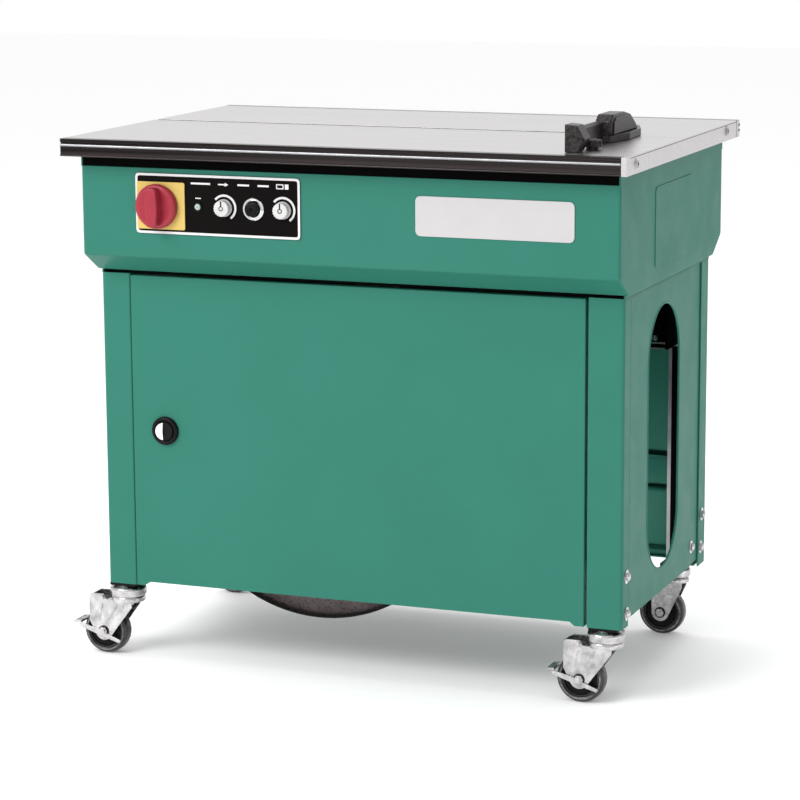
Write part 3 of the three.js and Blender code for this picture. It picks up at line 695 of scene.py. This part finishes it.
def edge_rail(node, side):
    """The dark profile along a long edge of the table. side is -1 in front and 1 behind."""
    low, high = node_box(node)
    inner, outer = (high.y, low.y) if side < 0 else (low.y, high.y)
    height = TABLE_TOP - low.z
    bead_in, bead_drop = 1.9, 9.8
    face = [(0.8, 0), (0, 0.8), (0, 1.5), (2, 1.7), (2, 2.7), (0, 2.9), (0, 4.6), (0.7, 5.2), (3.2, 5.3),
            (3.2, 7.6), (1, 7.7)]
    face += ridge(bead_in, bead_drop, 2)
    face += [(1.3, 12.4), (1.3, height - 3.2), (0.9, height - 2.9)]
    face += ridge(1.2, height - 1.5, 1.3)
    back = [(0, 0), (0, 6), (6, 6), (6, 14), (0, 14)]
    outline = [(inner, TABLE_TOP)] + [(outer - side * into, TABLE_TOP - drop) for into, drop in face]
    outline += [(inner + side * into, low.z + rise) for into, rise in back]
    piece(node + "_profile", prism("X", outline, (low.x, high.x)), "table_top", "rail_metal", node, smooth=28)
    # The bead is steel, lighter than the dark rail around it: partly a real ridge, partly a painted highlight line
    # along the rail.
    bead = circle((outer - side * (bead_in - 0.15), TABLE_TOP - bead_drop), 2.15, 16)
    piece(node + "_bead", prism("X", bead, (low.x + 0.3, high.x - 0.3), 0.3), "table_top", "steel")


def rear_rail_end():
    low, high = node_box("rear_edge_rail")
    cap = block((high.x - 0.4, high.x + 0.7), (low.y + 0.4, high.y - 0.4),
                (low.z + 0.4, TABLE_TOP - 0.4), 0.3)
    piece("rear_rail_cap", cap, "table_top", "stainless")
    # Black blocks on the rail's end where its grooves lie are painted shade in the grooves.
    groove_shade_blocks = [block((high.x + 0.2, high.x + 1), (high.y - 7, high.y + 0.6), (z, z + 3.4), 0.3)
               for z in (TABLE_TOP - 9.5, TABLE_TOP - 18)]
    piece("rear_rail_groove_shades", merged(*groove_shade_blocks), "table_top", "black_plastic")


def guide():
    low, high = node_box("guide_base")
    ground = low.z
    base = rounded([(low.x, low.y), (363, low.y), (high.x, -58), (high.x - 3, 10), (356, high.y),
                    (low.x, high.y)], [2, 6, 14, 16, 6, 4], 6)
    foot = prism("Z", base, (ground, high.z), 1.4, 4)
    piece("guide_foot", foot, "table_top", "guide_plastic", "guide_base")
    low, high = node_box("guide_rear_block")
    crown = rounded([(low.y, low.z), (low.y, high.z - 9), (low.y + 12, high.z), (-52, high.z),
                     (-20, high.z - 6), (8, high.z - 22), (high.y, low.z)], [0.8, 6, 9, 30, 30, 10, 0.8], 6)
    hump = prism("X", crown, (low.x, high.x), 2.2, 4)
    inner = [(u * 0.86 - 8, low.z + (v - low.z) * 0.82) for u, v in crown]
    rib = prism("X", inner, (high.x - 1, high.x + 2.2), 1.2, 3)
    piece("guide_hump", merged(hump, rib), "table_top", "guide_plastic", "guide_rear_block")
    low, high = node_box("guide_front_block")
    nose = rounded([(low.x, ground), (361, ground), (high.x, 848.5), (360.5, 868.5), (low.x, high.z)],
                   [1, 1.4, 3, 3, 2], 4)
    neck = rounded([(343, ground + 6), (351, ground + 6), (351, 858), (347, 862), (343, 862)], 1.2, 3)
    body = merged(prism("Y", nose, (low.y, low.y + 30), 1.4, 4), prism("Y", neck, (low.y + 28, high.y), 0.6),
                  block((low.x + 1.4, 352.5), (low.y + 29, low.y + 60), (ground + 9, 852), 2.4))
    piece("guide_nose", body, "table_top", "guide_plastic", "guide_front_block")
    low, high = node_box("guide_clamp_knob")
    centre = across("Z", "guide_clamp_knob")
    grip = prism("Z", fluted(centre, 13.8, 1.5, 9, 8), (low.z + 4.6, high.z - 1.6), 1.2, 3)
    stem = lathe("Z", rectangle((0, 9.5), (0, 5)), centre, 32, low.z)
    cap = lathe("Z", [(0, 2), (8.5, 2), (7.8, 0.6), (4, 0), (0, 0)], centre, 32, high.z, -1)
    piece("clamp_grip", merged(grip, stem, cap), "clamp_knob", "guide_plastic", "guide_clamp_knob")


def table_hinges():
    """Two hinges on the table's own pivot line, behind the housing."""
    at = joint_point("table_hinge")
    under = TABLE_TOP - 2
    for side, label in SIDES:
        middle = side * 300
        for body, name, spans in (("machine", "fixed", ((-12, 12),)),
                                  ("table_top", "moving", ((-36, -12.4), (12.4, 36)))):
            parts = []
            for start, end in spans:
                leaf = (middle + start, middle + end)
                parts.append(lathe("X", rectangle((1.6, 4.4), leaf), (at.y, at.z), 28))
                if body == "machine":
                    parts.append(block(leaf, (HOUSING_HIGH.y + 0.3, HOUSING_HIGH.y + 2.4),
                                       (at.z - 34, at.z - 1.5), 0.5))
                else:
                    parts.append(block(leaf, (at.y + 2, at.y + 4.2), (at.z + 1.5, under), 0.5))
                    parts.append(block(leaf, (at.y - 26, at.y + 4.2), (under - 2.3, under - 0.2), 0.5))
            piece(f"table_hinge_{name}_{label}", merged(*parts), body, "zinc")


# ---- Casters ----
def caster_race(corner, stem, radius):
    node = "caster_plate_" + corner
    low, high = node_box(node)
    bore, top = 6, high.z - low.z - 3
    race = [(bore, 0), (radius - 5, 0), (radius - 1.6, 0.8), (radius, 3), (radius, 11), (radius - 0.6, 13),
            (radius - 2.4, 14.8), (radius - 6, 16.2), (radius - 9, top), (bore, top)]
    piece(f"caster_{corner}_race", lathe("Z", race, stem, base=low.z), "machine", "zinc", node)
    # The black top plate is a real plate, made black as painted shade: it stands in for the shadow between the
    # post's foot and the race.
    outline = rounded(shifted(rectangle((-23, 23), (-21, 21)), stem), 5)
    shade_pad = prism("Z", outline, (high.z - 4.4, high.z), 0.6)
    piece(f"caster_{corner}_pad", shade_pad, "machine", "black_plastic")


def caster_fork(corner, stem, axle, radius):
    """Two cheeks with pressed ridges under a crown. The braked forks rise beside the race, open there."""
    node = "caster_fork_" + corner
    top = node_box(node)[1].z
    braked = corner.startswith("front")
    outer, inner, crown, front = 16.5, 14, radius - 2, 13
    offset, shoulder = axle[0] - stem[0], -radius - 3
    if braked:
        back = offset - 25
        shape = [(back, 54), (back, 98), (shoulder - 4, 98), (shoulder, 90), (front, 90), (front, 80)]
        bends, around = [3, 8, 3, 3, 3, 3], arc((offset, axle[1]), 15, -30, -149, 14)
    else:
        back = offset - 15.5
        shape = [(back, 90), (front, 90), (front, 80)]
        bends, around = [6, 3, 3], arc((offset, axle[1]), 14.5, -30, -170, 16)
    outline = rounded([(stem[0] + u, v) for u, v in shape + around], bends + [0] * len(around), 6)
    middle, pin = stem[0] + (back + front) / 2, circle(axle, 3.9, 24)
    parts, shade_washers = [], []
    for side in (-1, 1):
        face = stem[1] + side * outer
        parts.append(prism("Y", outline, sorted((stem[1] + side * inner, face)), 0.6))
        for start, end in ((-14, -20), (12, -4)):
            ends = [(middle + start, face + side * 0.1, 82), (middle + end, face + side * 0.1, 56)]
            parts.append(tube(ends, 1.3, 10))
        # Dark washers round the axle nuts are painted shade round each nut.
        shade_washers.append(lathe("Y", rectangle((3, 9), (0, 0.9)), axle, 32, face, side))
        parts.append(prism("Y", circle(axle, 7.2, 6), sorted((face, face + side * 3.6)), 0.5))
        parts.append(prism("Y", pin, sorted((face, face + side * 5.8)), 0.5))
    across_fork = (stem[1] - inner - 0.5, stem[1] + inner + 0.5)
    bridge_start = shoulder + 2 if braked else back + 3
    parts.append(prism("Z", rectangle((stem[0] + bridge_start, stem[0] + 12), across_fork), (87.2, 90), 0.4))
    rim = [(7, 88.6), (crown - 0.4, 88.6), (crown, 90.4), (crown, top - 3), (crown - 1.4, top - 1),
           (crown - 3, top), (7, top)]
    if braked:
        parts.append(block((stem[0] + back + 0.4, stem[0] + back + 2.6),
                           (stem[1] - inner - 1, stem[1] + inner + 1), (72, 95), 0.8))
        parts.append(prism("Y", circle((stem[0] + shoulder - 7, 92.6), 4.2, 6),
                           (stem[1] - outer - 3.2, stem[1] - outer + 0.2), 0.6))
        rim = [(r, min(v, 96.9)) for r, v in rim]
        shoe = block((stem[0] + back + 3, stem[0] + shoulder + 1), (stem[1] - 12, stem[1] + 12), (79, 90),
                     1.5)
        piece(f"caster_{corner}_shoe", shoe, "fork_" + corner, "black_plastic")
    parts.append(lathe("Z", rim, stem))
    parts.append(prism("Z", circle(stem, 9, 6), (80.5, 88), 0.7))
    parts.append(prism("Y", pin, (stem[1] - outer, stem[1] + outer)))
    piece(f"caster_{corner}_fork", merged(*parts), "fork_" + corner, "zinc", node)
    piece(f"caster_{corner}_washers", merged(*shade_washers), "fork_" + corner, "rail_metal")


def brake_pedal(corner, axle):
    node = "brake_pedal_" + corner
    low, high = node_box(node)
    arm = rounded(shifted([(31, -12.5), (28, -17.5), (12, -12.5), (1, -8.6), (-10, -5.5), (-40, 4.5),
                           (-43, 8.5), (-38, 10.8), (-8, 3.4), (2, -1.6), (14, -6)], axle), 2.2, 4)
    foot = rounded(shifted([(-39, 14.6), (-50, 14), (-53, 12), (-51, 10.6), (-39, 10.2)], axle), 1, 3)
    parts = [prism("Y", arm, span, 0.5) for span in ((low.y, low.y + 2.2), (high.y - 2.2, high.y))]
    parts.append(prism("Y", foot, (low.y + 1, high.y - 1), 0.7))
    ridges = shifted([(-49, 14), (-45, 14), (-41, 14)], axle)
    parts += [tube([(x, low.y + 4, z), (x, high.y - 4, z)], 0.9, 8) for x, z in ridges]
    piece(f"caster_{corner}_pedal", merged(*parts), "pedal_" + corner, "zinc", node)


# Half of each wheel profile, as (radius, distance from the wheel's middle). The tread's own radius follows.
TYRE = [(26.2, -9.8), (28, -9.8), (28.4, -11), (29.2, -12), (30.4, -12.4), (31.8, -12.2), (33, -11.4),
        (33.6, -10.2), (34.2, -9.9), (35.2, -10), (36.4, -8.8), (37.2, -6.8)]
BEAD = [(30.4, 11.2), (30.4, 12.5), (31, 13), (32, 13), (32.6, 12.5), (32.6, 11.2)]
HUB = [(4.7, -13.4), (9.6, -13.4), (11, -12.6), (12.2, -9.6), (20.5, -8.8), (24.4, -9.6), (25.2, -11.8),
       (26.1, -11.8)]


def both_halves(profile):
    return profile + [(radius, -along) for radius, along in reversed(profile)]


def casters():
    for corner in CORNERS:
        plate, node = "caster_plate_" + corner, "caster_wheel_" + corner
        stem, axle = across("Z", plate), across("Y", node)
        low, high = node_box(plate)
        radius = (high.x - low.x) / 2 + 0.25
        caster_race(corner, stem, radius)
        caster_fork(corner, stem, axle, radius)
        if corner.startswith("front"):
            brake_pedal(corner, axle)
        middle, body = node_centre(node).y, "wheel_" + corner
        tyre = both_halves(TYRE + [(node_box(node)[1].z - axle[1], -4.2)])
        piece(f"caster_{corner}_tyre", lathe("Y", tyre, axle, 96, middle), body, "rubber", node)
        # The raised rings are pale grey: painted highlight rings on the tyre.
        beads = [lathe("Y", BEAD, axle, 96, middle, side) for side in (-1, 1)]
        piece(f"caster_{corner}_beads", merged(*beads), body, "ring_highlight_rubber")
        hub = lathe("Y", both_halves(HUB), axle, 64, middle)
        piece(f"caster_{corner}_hub", hub, body, "black_plastic")


# ---- Strap reel ----
def reel():
    bore, middle = 12.7, across("Y", "reel_front_flange")
    low, high = node_box("reel_front_flange")
    radius = (high.x - low.x) / 2 + 0.6
    back = high.y - low.y
    web, rim = back - 3, back - 18
    front = [(bore, 0), (27, 0), (29.6, 2.4), (30, web - 4), (33, web), (98, web), (101, web - 1.4),
             (105, web), (radius - 8, web), (radius - 3.6, web - 3), (radius - 3, rim + 1),
             (radius - 2.4, rim), (radius - 0.6, rim), (radius, rim + 0.8), (radius, back - 2),
             (radius - 2, back), (bore, back)]
    board = lathe("Y", front, middle, 128, low.y)
    piece("reel_front_board", board, "reel", "reel_board", "reel_front_flange")
    hoop = [(radius - 3.4, rim + 2), (radius - 3.4, rim), (radius - 2.8, rim - 0.4),
            (radius + 0.2, rim - 0.4), (radius + 0.6, rim + 0.2), (radius + 0.6, back - 0.6),
            (radius + 0.2, back), (radius - 1, back), (radius - 0.4, rim + 2)]
    piece("reel_front_hoop", lathe("Y", hoop, middle, 128, low.y), "reel", "black_plastic")
    low, high = node_box("reel_hub")
    core, depth = (high.x - low.x) / 2 + 0.6, high.y - low.y
    drum = [(bore, 0), (core, 0), (core, depth), (core - 6, depth), (core - 6, 8), (24, 8), (24, depth),
            (bore, depth)]
    ribs = []
    for step in range(8):
        angle = math.pi / 4 * step
        spoke = Matrix.Rotation(angle, 2)
        corners = [spoke @ Vector(p) for p in ((23, -2), (core - 5, -2), (core - 5, 2), (23, 2))]
        ribs.append(prism("Y", shifted(corners, middle), (low.y + 7, high.y - 6)))
    hub = merged(lathe("Y", drum, middle, 96, low.y), *ribs)
    piece("reel_drum", hub, "reel", "black_plastic", "reel_hub")
    low, high = node_box("reel_rear_flange")
    radius, depth = (high.x - low.x) / 2 + 0.6, high.y - low.y
    rear = [(bore, 0), (radius - 1, 0), (radius, 1), (radius, 2.4), (radius - 1, 3), (100, 3), (98, 4.4),
            (96, 3), (33, 3), (30, 5), (29, depth - 1), (27.6, depth), (bore, depth)]
    board = lathe("Y", rear, middle, 128, low.y)
    piece("reel_rear_board", board, "reel", "black_plastic", "reel_rear_flange")
    piece("reel_stand", node_mesh("reel_bracket", 0.8), "machine", "steel", "reel_bracket")
    tip = node_box("reel_bracket")[0].y
    nut = merged(prism("Y", circle(middle, 17, 6), (tip + 1, tip + 8), 1),
                 prism("Y", circle(middle, 19, 40), (tip + 7.6, tip + 9.4), 0.4))
    piece("reel_nut", nut, "machine", "zinc")
    piece("reel_brake_lever", node_mesh("reel_brake_arm", 0.7), "reel_brake", "steel", "reel_brake_arm")


# ---- Drive ----
def motor(axis):
    low, high = node_box("drive_motor")
    floor, root, tip = low.z, 51, 55.8
    body = [(10, -30), (44, -30), (tip - 4, -27), (tip, -22), (tip, -12)]
    y = -10
    while y < 112:
        body += [(root, y), (root, y + 3.4), (tip, y + 3.8), (tip, y + 6.2)]
        y += 6.6
    body += [(tip, 114), (tip, 128), (50, 131), (50, high.y - 4), (46, high.y - 0.5), (10, high.y - 0.5)]
    foot = block((axis[0] - 48, axis[0] + 48), (-10, 110), (floor, floor + 6), 1.5)
    legs = [block((axis[0] + x - 4, axis[0] + x + 4), (0, 100), (floor + 5, axis[1] - 34), 1.5)
            for x in (-40, 40)]
    box = block((axis[0] - 26, axis[0] + 26), (30, 84), (axis[1] + 48, axis[1] + 55.5), 2)
    spindle = lathe("Y", rectangle((0, 7.9), (low.y, -29)), axis, 32)
    housing = merged(lathe("Y", body, axis, 64), foot, *legs, box, spindle)
    piece("motor_housing", housing, "machine", "steel", "drive_motor")


def gearbox(centre):
    low, high = node_box("gearbox")
    case = block((centre[0] - 60, centre[0] + 60), (-30, 90), (low.z, high.z), 5)
    feet = block((low.x, high.x), (-22, 82), (low.z, low.z + 8), 1.6)
    cover = block((centre[0] - 50, centre[0] + 50), (-33, -28), (low.z + 18, high.z - 10), 2)
    stub = lathe("Y", rectangle((0, 8.9), (low.y, -29)), centre, 32)
    spots = shifted([(u, v) for u in (-42, 42) for v in (-48, 42)], centre)
    screws = [prism("Y", circle(spot, 4.5, 6), (-36, -32), 0.5) for spot in spots]
    piece("gearbox_case", merged(case, feet, cover, stub, *screws), "machine", "steel", "gearbox")


def pulley(node, axis, body, bore):
    low, high = node_box(node)
    rim, width, hub = (high.x - low.x) / 2 + 0.2, high.y - low.y, bore + 7
    groove = rim - 4.2
    wheel = [(bore, 0), (hub, 0), (hub + 1, 3), (groove - 4, 3), (groove - 2, 0), (rim - 0.6, 0), (rim, 0.6),
             (rim, 1.6), (groove, 2.6), (groove, width - 2.6), (rim, width - 1.6), (rim, width - 0.6),
             (rim - 0.6, width), (bore, width)]
    piece(node + "_turned", lathe("Y", wheel, axis, 72, low.y), body, "steel", node)


def drive():
    first, second = node_centre("motor_pulley").xz, node_centre("gearbox_pulley").xz
    motor(first)
    gearbox(second)
    pulley("motor_pulley", first, "motor_shaft", 8.6)
    pulley("gearbox_pulley", second, "gear_input", 9.6)
    low, high = node_box("drive_belt")
    small, large = 25, 50
    lean = math.degrees(math.asin((large - small) / (second[0] - first[0])))
    outer, inner = (arc(second, large + offset, -90 - lean, 90 + lean, 36)
                    + arc(first, small + offset, 90 + lean, 270 - lean, 24) for offset in (4.4, 0.9))
    piece("belt_loop", ring_prism("Y", outer, inner, (low.y, high.y), 0.5), "machine", "rubber", "drive_belt")
    low, high = node_box("cam_shaft")
    at, length = joint_point("cam_spin"), high.x - low.x
    shaft = [(0, 0), (8.8, 0), (9.8, 1), (9.8, length - 1), (8.8, length), (0, length)]
    parts = [lathe("X", shaft, (at.y, at.z), 40, low.x)]
    lobe = [(0, 0), (19, 0), (19.8, 0.8), (19.8, 9.2), (19, 10), (0, 10)]
    for number, x in enumerate((175, 200, 225)):
        turn, throw = 2 * math.pi / 3 * number, 6
        middle = (at.y - throw * math.sin(turn), at.z + throw * math.cos(turn))
        parts.append(lathe("X", lobe, middle, 48, x))
    piece("cam_stack", merged(*parts), "cams", "steel", "cam_shaft")


# ---- Sealing head and electrical box ----
def sealing_head():
    low = node_box("head_block")[0]
    middle = node_centre("slide_table").x
    screws = [prism("Y", circle((x, z), 4, 6), (low.y - 3.2, low.y + 0.2), 0.5)
              for x in (middle - 26, middle + 26) for z in (650, 700, 750)]
    piece("head_casting", merged(node_mesh("head_block", 0.7), *screws), "machine", "steel", "head_block")
    low, high = node_box("slide_table")
    lines = [block((x, x + 1.6), (low.y + 3, high.y - 3), (high.z - 0.1, high.z + 0.25), 0.1)
             for x in range(round(low.x) + 18, round(high.x) - 18, 4)]
    anvil = merged(node_block("slide_table", 0.8), *lines)
    piece("anvil_plate", anvil, "slide_table", "stainless", "slide_table")
    low, high = node_box("strap_gripper")
    root, tip = high.z - 1.2, high.z - 0.1
    teeth = [prism("Y", [(x, root - 0.2), (x + 1.5, tip), (x + 3, root - 0.2)], (low.y + 0.6, high.y - 0.6))
             for x in range(round(low.x) + 1, round(high.x) - 3, 3)]
    jaw = merged(block((low.x, high.x), (low.y, high.y), (low.z, root), 0.5), *teeth)
    piece("gripper_jaw", jaw, "gripper", "steel", "strap_gripper")
    piece("heater_tongue", node_mesh("heater_blade", 0.5), "heater", "brass", "heater_blade")
    for node, finish, depth, pin in (("feed_roller", "rubber", 0.5, 5.3),
                                     ("pinch_roller", "steel", 0.4, 4.3)):
        low, high = node_box(node)
        centre = across("Y", node)
        drum = prism("Y", fluted(centre, (high.x - low.x) / 2, depth, 40, 4), (low.y, low.y + 26), 0.5)
        arbor = lathe("Y", rectangle((0, pin), (low.y + 25, high.y)), centre, 32)
        piece(node + "_knurled", merged(drum, arbor), node, finish, node)


def electrical_box():
    low, high = node_box("electrical_box")
    lid = block((low.x + 8, high.x - 8), (low.y - 2, low.y + 0.4), (low.z + 8, high.z - 8), 0.8)
    case = merged(node_block("electrical_box", 1.5), lid)
    piece("electrical_case", case, "machine", "black_paint", "electrical_box")
    trims = [block((low.x + 4, high.x - 4), (low.y - 3.5, low.y - 1), (low.z + rise, low.z + rise + 2.6), 0.5)
             for rise in (0, 9)]
    piece("electrical_trims", merged(*trims), "machine", "stainless")
    spots = ((x, z) for x in (low.x + 20, high.x - 20) for z in (low.z + 18, high.z - 18))
    for number, spot in enumerate(spots):
        piece(f"electrical_screw_{number}", pan_screw("Y", spot, low.y - 2, -1), "machine", "zinc")


housing()
posts()
end_panels()
rear_panel()
door()
lock()
panel()
symbols()
main_switch()
pilot_lamp()
dials()
feed_button()
table_top()
edge_rail("front_edge_rail", -1)
edge_rail("rear_edge_rail", 1)
rear_rail_end()
guide()
table_hinges()
casters()
reel()
drive()
sealing_head()
electrical_box()


# ---- Stage ----
# The photo's camera: its place in machine millimetres, and its turns in degrees
CAMERA = {"lens": 129.74, "place": (1618.5, -4186.3, 1254.2), "yaw": 21.34, "pitch": -10.78, "roll": -0.31}
# Name, place and target in the frame's metres, size, watts, and whether reflections show it
LIGHTS = (
    ("key", (-1.6, -3.0, 2.8), (0, 0, 0.5), (2.2, 1.6), 96, True),
    ("fill", (1.7, -0.1, 0.15), (0.4, 0, 0.2), (1.2, 0.3), 1.4, True),
    ("inside", (0.2, 0.0, 0.16), (0.33, 0.22, 0.42), (0.12, 0.12), 0.45, True),
    ("top", (0, 0.3, 3.4), (0, 0, 0.8), (3.0, 2.4), 50, False),
)
FLOOR = 14  # metres, half its side
ROOM_FADE = {"From Min": 0.2, "From Max": 1, "To Min": 1, "To Max": 0.4}


def camera():
    data = bpy.data.cameras.new("camera")
    data.sensor_width = 36
    data.lens = CAMERA["lens"]
    data.clip_end = 50
    made = bpy.data.objects.new("camera", data)
    bpy.context.scene.collection.objects.link(made)
    yaw, pitch, roll = (math.radians(CAMERA[turn]) for turn in ("yaw", "pitch", "roll"))
    turn = (Matrix.Rotation(yaw, 4, "Z") @ Matrix.Rotation(math.pi / 2 + pitch, 4, "X")
            @ Matrix.Rotation(roll, 4, "Z"))
    made.matrix_world = Matrix.Translation(TO_FRAME @ Vector(CAMERA["place"])) @ turn
    bpy.context.scene.camera = made


def area_light(name, place, target, size, power, mirrored):
    data = bpy.data.lights.new(name, "AREA")
    data.shape = "RECTANGLE"
    data.size, data.size_y = size
    data.energy = power
    made = bpy.data.objects.new(name, data)
    bpy.context.scene.collection.objects.link(made)
    made.visible_camera = False
    made.visible_glossy = mirrored
    made.location = place
    made.rotation_euler = (Vector(target) - Vector(place)).to_track_quat("-Z", "Y").to_euler()


def stage_floor():
    bm = bmesh.new()
    bmesh.ops.create_grid(bm, x_segments=2, y_segments=2, size=FLOOR)
    mesh = bpy.data.meshes.new("floor")
    bm.to_mesh(mesh)
    bm.free()
    mesh.materials.append(surface("floor", (0.93, 0.93, 0.93), 0.8, tint=0.005, glow=0.12))
    floor = bpy.data.objects.new("floor", mesh)
    bpy.context.scene.collection.objects.link(floor)


def room():
    """Room light that is weaker from the machine's right, behind a backdrop that is white all round."""
    world = bpy.data.worlds.new("studio")
    bpy.context.scene.world = world
    world.use_nodes = True
    nodes, links = world.node_tree.nodes, world.node_tree.links
    background = nodes["Background"]
    background.inputs["Color"].default_value = (1, 1, 1, 1)
    split, fade = nodes.new("ShaderNodeSeparateXYZ"), nodes.new("ShaderNodeMapRange")
    for socket, value in ROOM_FADE.items():
        fade.inputs[socket].default_value = value
    links.new(nodes.new("ShaderNodeTexCoord").outputs["Generated"], split.inputs["Vector"])
    links.new(split.outputs["X"], fade.inputs["Value"])
    strength = nodes.new("ShaderNodeMath")
    strength.operation = "MAXIMUM"
    links.new(fade.outputs["Result"], strength.inputs[0])
    links.new(nodes.new("ShaderNodeLightPath").outputs["Is Camera Ray"], strength.inputs[1])
    links.new(strength.outputs["Value"], background.inputs["Strength"])
    bpy.context.scene.view_settings.view_transform = "Standard"


camera()
stage_floor()
room()
for light in LIGHTS:
    area_light(*light)
